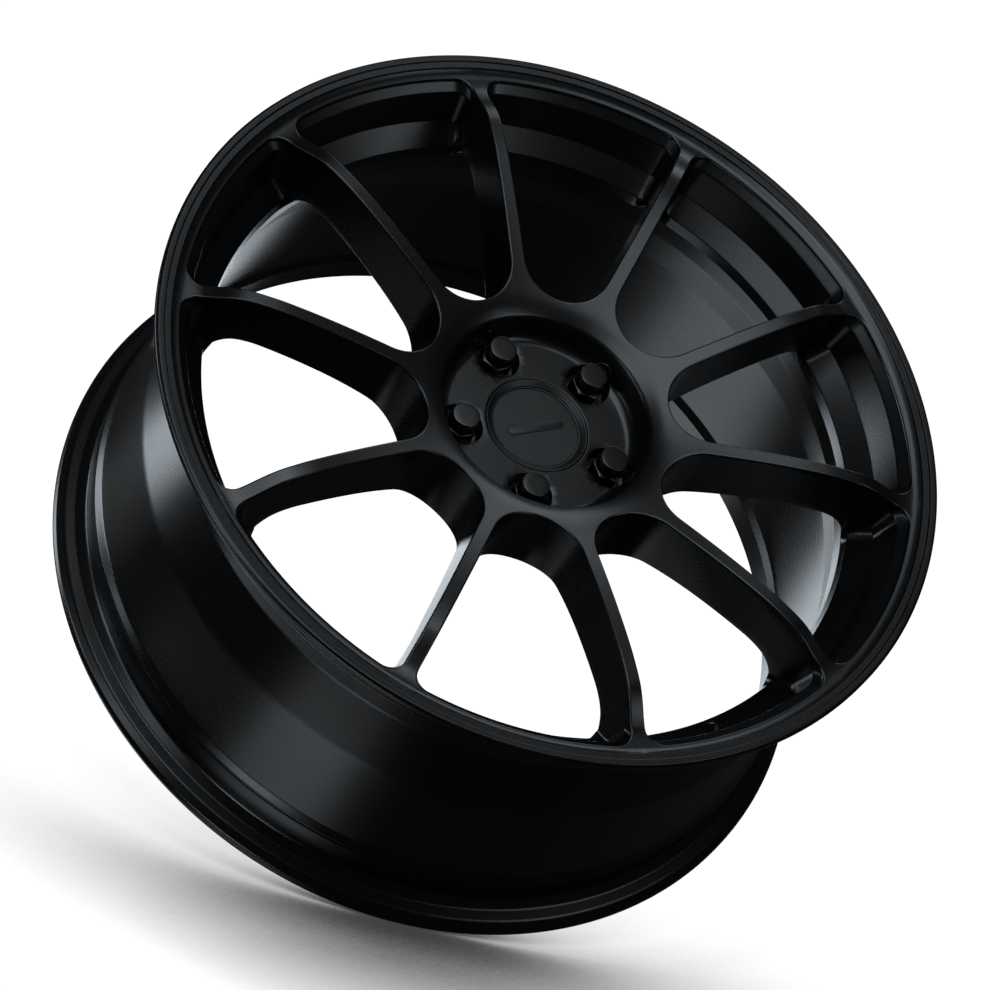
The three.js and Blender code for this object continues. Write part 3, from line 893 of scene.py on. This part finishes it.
def painted_highlight_edges():
    """Where an outside edge is, as a mask from 0 to 1, for a painted highlight along the edges."""
    tree = Tree(
        "Painted edge highlight", "ShaderNodeTree",
        [("Reach", NUMBER, 0.06), ("Patchiness", NUMBER, 0.5)],
        [("Mask", NUMBER)],
    )
    start = tree.start.outputs
    place = tree.add("ShaderNodeTexCoord").outputs["Object"]
    point = tree.add("ShaderNodeNewGeometry").outputs["Pointiness"]
    over = tree.math("DIVIDE", tree.math("SUBTRACT", point, 0.5), start["Reach"])
    patch = tree.add("ShaderNodeTexNoise", {"Vector": place, "Scale": 60, "Detail": 2}).outputs["Fac"]
    thin = tree.math("SUBTRACT", 1, tree.math("MULTIPLY", patch, start["Patchiness"]))
    mask = tree.add("ShaderNodeClamp", {"Value": tree.math("MULTIPLY", over, thin)})
    tree.out("Mask", mask.outputs[0])
    return tree.group


def coated(name, colour, sheen, grain, drift, sheen_drift, bump, highlight_gain, metal=0.0, level=0.5):
    """A black finish with cured grain, and outside edges a little smoother and paler; the paler colour is a
    painted edge highlight.
    """
    material = bpy.data.materials.new(name)
    material.use_nodes = True
    tree = material.node_tree
    shader = tree.nodes["Principled BSDF"]
    skin = add_node(tree, "ShaderNodeGroup", {}, node_tree=once("Cured coating", speckle_group))
    for key, value in (("Colour", colour), ("Sheen", sheen), ("Grain size", grain), ("Drift", drift),
                       ("Sheen drift", sheen_drift)):
        skin.inputs[key].default_value = value
    edges = add_node(tree, "ShaderNodeGroup", {}, node_tree=once("Painted edge highlight", painted_highlight_edges))
    # Outside edges are painted paler as a painted highlight along the edges; they are also given a little
    # less roughness.
    highlight_colour = [min(1, c * (1 + highlight_gain)) for c in colour[:3]] + [1]
    pale = add_node(tree, "ShaderNodeMix", {}, data_type="RGBA")
    tree.links.new(edges.outputs["Mask"], pale.inputs["Factor"])
    tree.links.new(skin.outputs["Colour"], pale.inputs["A"])
    pale.inputs["B"].default_value = highlight_colour
    rub = add_node(tree, "ShaderNodeMath", {
        0: edges.outputs["Mask"], 1: -0.06, 2: skin.outputs["Roughness"],
    }, operation="MULTIPLY_ADD")
    relief = add_node(tree, "ShaderNodeBump", {
        "Distance": bump, "Strength": 1, "Height": skin.outputs["Height"],
    })
    plug(tree, shader, "Base Color", pale.outputs["Result"])
    plug(tree, shader, "Roughness", rub.outputs[0])
    plug(tree, shader, "Normal", relief.outputs["Normal"])
    shader.inputs["Metallic"].default_value = metal
    shader.inputs["Specular IOR Level"].default_value = level
    return material


def finish_piece(piece, finish, body, slot, *nodes, sharp=38):
    """Smooths and coats a piece, and hands it to its body in place of its CAD nodes."""
    weld_and_smooth(piece.data, sharp=sharp)
    coat_with(piece.data, finish)
    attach(piece, body)
    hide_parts(*nodes)


class WHEEL_OT_finishes(Operator):
    """Make the wheel's finishes"""

    bl_idname = "wheel.finishes"
    bl_label = "Finishes"

    def execute(self, context):
        colours = context.scene.wheel_colours
        coated("satin_powder_coat", colours.coat, colours.coat_sheen, 0.0011, 0.16, 0.05, 2e-6, 1.2)
        coated("black_nut_finish", colours.nut, 0.23, 0.0006, 0.2, 0.06, 2e-6, 1.5, level=0.6)
        coated("cap_plastic_moulding", colours.cap, 0.42, 0.0005, 0.12, 0.04, 3e-6, 0.6)
        coated("emblem_moulding", colours.cap, 0.44, 0.0004, 0.12, 0.04, 5e-6, 0.4)
        coated("sprung_steel", (0.18, 0.18, 0.185, 1), 0.32, 0.0008, 0.2, 0.1, 1e-6, 0.5, metal=1.0)
        coated("seat_zinc", (0.16, 0.16, 0.165, 1), 0.35, 0.0008, 0.2, 0.1, 1e-6, 0.5, metal=1.0)
        return {"FINISHED"}


class WHEEL_OT_spider(Operator):
    """Make the wheel's face: hub bowl, ten spokes and the walls of the ten windows"""

    bl_idname = "wheel.spider"
    bl_label = "Hub and spokes"

    def execute(self, context):
        sizes = context.scene.wheel_sizes
        finish = finish_of("satin_powder_coat")
        piece = shaped("wheel_spider", half_sector(sizes), once("Repeat round the axle", repeat_tree),
                       {"Count": SPOKES, "Finish": finish})
        work = bmesh.new()
        work.from_mesh(piece.data)
        hub = hub_mesh(sizes)
        work.from_mesh(hub)
        bpy.data.meshes.remove(hub)
        bmesh.ops.triangulate(work, faces=[f for f in work.faces if len(f.verts) > 4])
        work.to_mesh(piece.data)
        work.free()
        weld_and_smooth(piece.data, weld=5e-6)
        drill_valve(piece, sizes)
        spokes = [f"spoke_{k:02d}" for k in range(1, SPOKES + 1)]
        finish_piece(piece, finish, "wheel", "wheel_paint", "hub_centre", *spokes)
        return {"FINISHED"}


class WHEEL_OT_barrel(Operator):
    """Make the turned barrel with its flanges, bead seats and drop centre"""

    bl_idname = "wheel.barrel"
    bl_label = "Barrel"

    def execute(self, context):
        sizes = context.scene.wheel_sizes
        finish = finish_of("satin_powder_coat")
        chain = rounded(BARREL) + [Vector(p) for p in reversed(PARTING)] + [Vector(LIP_RING)]
        piece = shaped("wheel_barrel", outline_mesh(chain), once("Turn round the axle", turning_tree),
                       {"Facets": sizes.turn_segments, "Finish": finish})
        weld_and_smooth(piece.data)
        drill_valve(piece, sizes)
        finish_piece(piece, finish, "wheel", "wheel_paint", "rim_barrel")
        return {"FINISHED"}


class WHEEL_OT_nuts(Operator):
    """Make the five lug nuts and the taper seats that they turn on"""

    bl_idname = "wheel.nuts"
    bl_label = "Lug nuts"

    def execute(self, context):
        sizes = context.scene.wheel_sizes
        nut = finish_of("black_nut_finish")
        zinc = finish_of("seat_zinc")
        for k in range(LUGS):
            place = {"Lug circle": sizes.lug_circle, "Place": FIRST_LUG + 2 * math.pi * k / LUGS}
            piece = shaped(f"lug_nut_piece_{k + 1}", nut_mesh(sizes), once("Stand on a stud", stud_tree),
                           {**place, "Turn": math.radians(NUT_TURNS[k]), "Finish": nut})
            finish_piece(piece, nut, f"lug_nut_{k + 1}", "nut_steel", f"lug_nut_{k + 1}", sharp=50)
            ring = shaped("seat_ring", outline_mesh(SEAT_RING), once("Turn round the axle", turning_tree),
                          {"Facets": 48, "Finish": zinc})
            source = ring.data.copy()
            bpy.data.objects.remove(ring)
            piece = shaped(f"lug_seat_piece_{k + 1}", source, once("Stand on a stud", stud_tree),
                           {**place, "Turn": 0.0, "Finish": zinc})
            finish_piece(piece, zinc, f"lug_seat_{k + 1}", "seat_steel", f"lug_seat_{k + 1}")
        return {"FINISHED"}


class WHEEL_OT_cap(Operator):
    """Make the centre cap with its legs, disc and spring"""

    bl_idname = "wheel.cap"
    bl_label = "Centre cap"

    def execute(self, context):
        plastic, steel = finish_of("cap_plastic_moulding"), finish_of("sprung_steel")
        turning = once("Turn round the axle", turning_tree)
        shell = shaped("cap_shell_piece", outline_mesh(rounded(CAP_OUTLINE, hold=0.12)), turning,
                       {"Facets": 128, "Finish": plastic})
        legs = shaped("cap_legs", leg_mesh(), once("Repeat round the axle", repeat_tree),
                      {"Count": CAP_LEGS, "Finish": plastic})
        leg_copy = legs.data.copy()
        bpy.data.objects.remove(legs)
        merge_in(shell, leg_copy)
        finish_piece(shell, plastic, "centre_cap", "cap_plastic", "cap_shell")
        disc = shaped("cap_emblem_piece", outline_mesh(rounded(EMBLEM_OUTLINE, hold=0.12)), turning,
                      {"Facets": 128, "Finish": plastic})
        merge_in(disc, bar_mesh())
        finish_piece(disc, finish_of("emblem_moulding"), "centre_cap", "emblem", "cap_emblem")
        spring = bpy.data.objects.new("cap_spring_piece", spring_mesh())
        context.scene.collection.objects.link(spring)
        finish_piece(spring, steel, "centre_cap", "spring_steel", "cap_spring_ring")
        return {"FINISHED"}


class WHEEL_OT_stage(Operator):
    """Set up the camera, the pale floor and the soft lights"""

    bl_idname = "wheel.stage"
    bl_label = "Stage"

    def execute(self, context):
        stage = context.scene.wheel_stage
        forward = Vector((
            math.sin(stage.heading) * math.cos(stage.climb), math.cos(stage.heading) * math.cos(stage.climb),
            math.sin(stage.climb),
        ))
        level = forward.cross(Vector((0, 0, 1))).normalized()
        upright = level.cross(forward)
        right = level * math.cos(stage.roll) - upright * math.sin(stage.roll)
        up = right.cross(forward)
        aim = Vector((0.0007, 0.00194, -0.00386))
        eye = bpy.data.objects.new("camera", bpy.data.cameras.new("camera"))
        context.scene.collection.objects.link(eye)
        eye.matrix_world = Matrix((right, up, -forward)).transposed().to_4x4()
        eye.matrix_world.translation = aim - forward * stage.distance
        eye.data.lens = stage.lens
        context.scene.camera = eye
        self.make_floor(context, forward, right, up)
        self.make_lights(context)
        return {"FINISHED"}

    def make_floor(self, context, forward, right, up):
        """A large pale sheet that touches the back flange, and isn't seen from behind. It glows rather than
        being lit, and a painted shadow dims it near the wheel.
        """
        stage, colours = context.scene.wheel_stage, context.scene.wheel_colours
        upright = up * math.cos(stage.floor_lean) + right * math.sin(stage.floor_lean)
        normal = (upright * math.cos(stage.floor_tilt) - forward * math.sin(stage.floor_tilt)).normalized()
        low = min(v.co.dot(normal) for v in bpy.data.objects["wheel_barrel"].data.vertices)
        side = normal.cross(forward).normalized()
        along = side.cross(normal)
        reach = 6
        corners = [normal * (low - 0.0005) + side * a * reach + along * b * reach for a, b in
                   ((-1, -1), (1, -1), (1, 1), (-1, 1))]
        mesh = bpy.data.meshes.new("floor")
        mesh.from_pydata(corners, [], [(0, 1, 2, 3)])
        if mesh.polygons[0].normal.dot(normal) < 0:
            mesh.flip_normals()
        floor = bpy.data.objects.new("floor", mesh)
        context.scene.collection.objects.link(floor)
        material = bpy.data.materials.new("pale_floor")
        material.use_nodes = True
        tree = material.node_tree
        tree.nodes.remove(tree.nodes["Principled BSDF"])
        # Painted shadow: ambient occlusion from the wheel dims the floor's glow, which stands in for the
        # wheel's cast shadow.
        near = add_node(tree, "ShaderNodeAmbientOcclusion", {"Distance": stage.shadow_reach})
        shade = add_node(tree, "ShaderNodeMapRange", {
            "From Min": 0.42, "From Max": 0.9, "To Min": stage.shadow_depth, "To Max": 1.06,
            "Value": near.outputs["AO"],
        })
        painted_shadow_glow = add_node(tree, "ShaderNodeEmission", {
            "Color": colours.floor, "Strength": shade.outputs["Result"],
        })
        clear = add_node(tree, "ShaderNodeBsdfTransparent")
        sides = add_node(tree, "ShaderNodeNewGeometry")
        mix = add_node(tree, "ShaderNodeMixShader", {
            0: sides.outputs["Backfacing"], 1: painted_shadow_glow.outputs[0], 2: clear.outputs[0],
        })
        plug(tree, tree.nodes["Material Output"], "Surface", mix.outputs[0])
        mesh.materials.append(material)
        floor.visible_diffuse = False
        floor.visible_glossy = False

    def make_lights(self, context):
        """Soft boxes, and a white surround that only the camera sees at full strength."""
        world = bpy.data.worlds.new("surround")
        context.scene.world = world
        world.use_nodes = True
        tree = world.node_tree
        back = tree.nodes["Background"]
        back.inputs["Color"].default_value = (1, 1, 1, 1)
        path = add_node(tree, "ShaderNodeLightPath")
        strength = add_node(tree, "ShaderNodeMix", {
            "A": 0.02, "B": 1.1, "Factor": path.outputs["Is Camera Ray"],
        })
        plug(tree, back, "Strength", strength.outputs["Result"])
        boxes = [
            ("key", (-0.3, -0.9, 0.1), 1.8, 0.8, 0.8, 5.5),
            ("left", (-0.9, -0.42, -0.1), 1.8, 0.3, 1.0, 2.5),
            ("face", (0.1, -0.95, 0.35), 2.0, 0.9, 0.9, 7),
            ("above", (0.5, -0.4, 0.75), 2.0, 0.8, 0.8, 3.5),
            ("side", (-1, 0, 0.2), 1.8, 0.3, 1.0, 3.5),
            ("behind_left", (-0.72, 0.4, 0.6), 1.9, 0.6, 0.9, 9),
            ("behind_low", (-0.55, 0.6, -0.6), 1.9, 0.7, 0.7, 2),
            ("behind", (0.26, 0.8, 0.54), 1.9, 0.7, 0.7, 3.6),
            ("low_left", (-0.72, 0.05, -0.66), 1.8, 0.5, 0.5, 4.5),
            ("behind_middle", (-0.38, 0.92, 0), 1.9, 0.8, 0.8, 3.2),
            ("behind_right", (0.52, 0.75, 0.4), 1.9, 0.5, 0.5, 1.4),
            ("right", (0.5, -0.75, -0.4), 1.9, 0.6, 0.8, 3),
        ]
        for name, way, away, wide, tall, watts in boxes:
            lamp = bpy.data.lights.new(name, "AREA")
            lamp.shape = "RECTANGLE"
            lamp.size, lamp.size_y = wide, tall
            lamp.energy = watts
            lamp.color = (0.84, 0.93, 1)
            box = bpy.data.objects.new(name, lamp)
            direction = Vector(way).normalized()
            box.location = direction * away
            box.rotation_euler = (-direction).to_track_quat("-Z", "Z").to_euler()
            box.visible_camera = False
            context.scene.collection.objects.link(box)
        context.scene.view_settings.view_transform = "Standard"


class WHEEL_PT_panel(Panel):
    """Lists the steps that build the wheel, and its sizes and colours"""

    bl_idname = "WHEEL_PT_panel"
    bl_label = "Forged wheel"
    bl_space_type = "VIEW_3D"
    bl_region_type = "UI"
    bl_category = "Wheel"

    def draw(self, context):
        for step in STEPS:
            self.layout.operator(step.bl_idname)
        for group in (context.scene.wheel_sizes, context.scene.wheel_colours, context.scene.wheel_stage):
            box = self.layout.box()
            for key in group.bl_rna.properties.keys():
                if key not in ("rna_type", "name"):
                    box.prop(group, key)


STEPS = (WHEEL_OT_finishes, WHEEL_OT_spider, WHEEL_OT_barrel, WHEEL_OT_nuts, WHEEL_OT_cap, WHEEL_OT_stage)
CLASSES = (WheelSizes, WheelColours, WheelStage, *STEPS, WHEEL_PT_panel)


def register():
    for item in CLASSES:
        bpy.utils.register_class(item)
    bpy.types.Scene.wheel_sizes = PointerProperty(type=WheelSizes)
    bpy.types.Scene.wheel_colours = PointerProperty(type=WheelColours)
    bpy.types.Scene.wheel_stage = PointerProperty(type=WheelStage)


def unregister():
    for key in ("wheel_sizes", "wheel_colours", "wheel_stage"):
        delattr(bpy.types.Scene, key)
    for item in reversed(CLASSES):
        bpy.utils.unregister_class(item)


def main():
    register()
    bpy.ops.wheel.finishes()
    bpy.ops.wheel.spider()
    bpy.ops.wheel.barrel()
    bpy.ops.wheel.nuts()
    bpy.ops.wheel.cap()
    bpy.ops.wheel.stage()


if __name__ == "__main__":
    main()
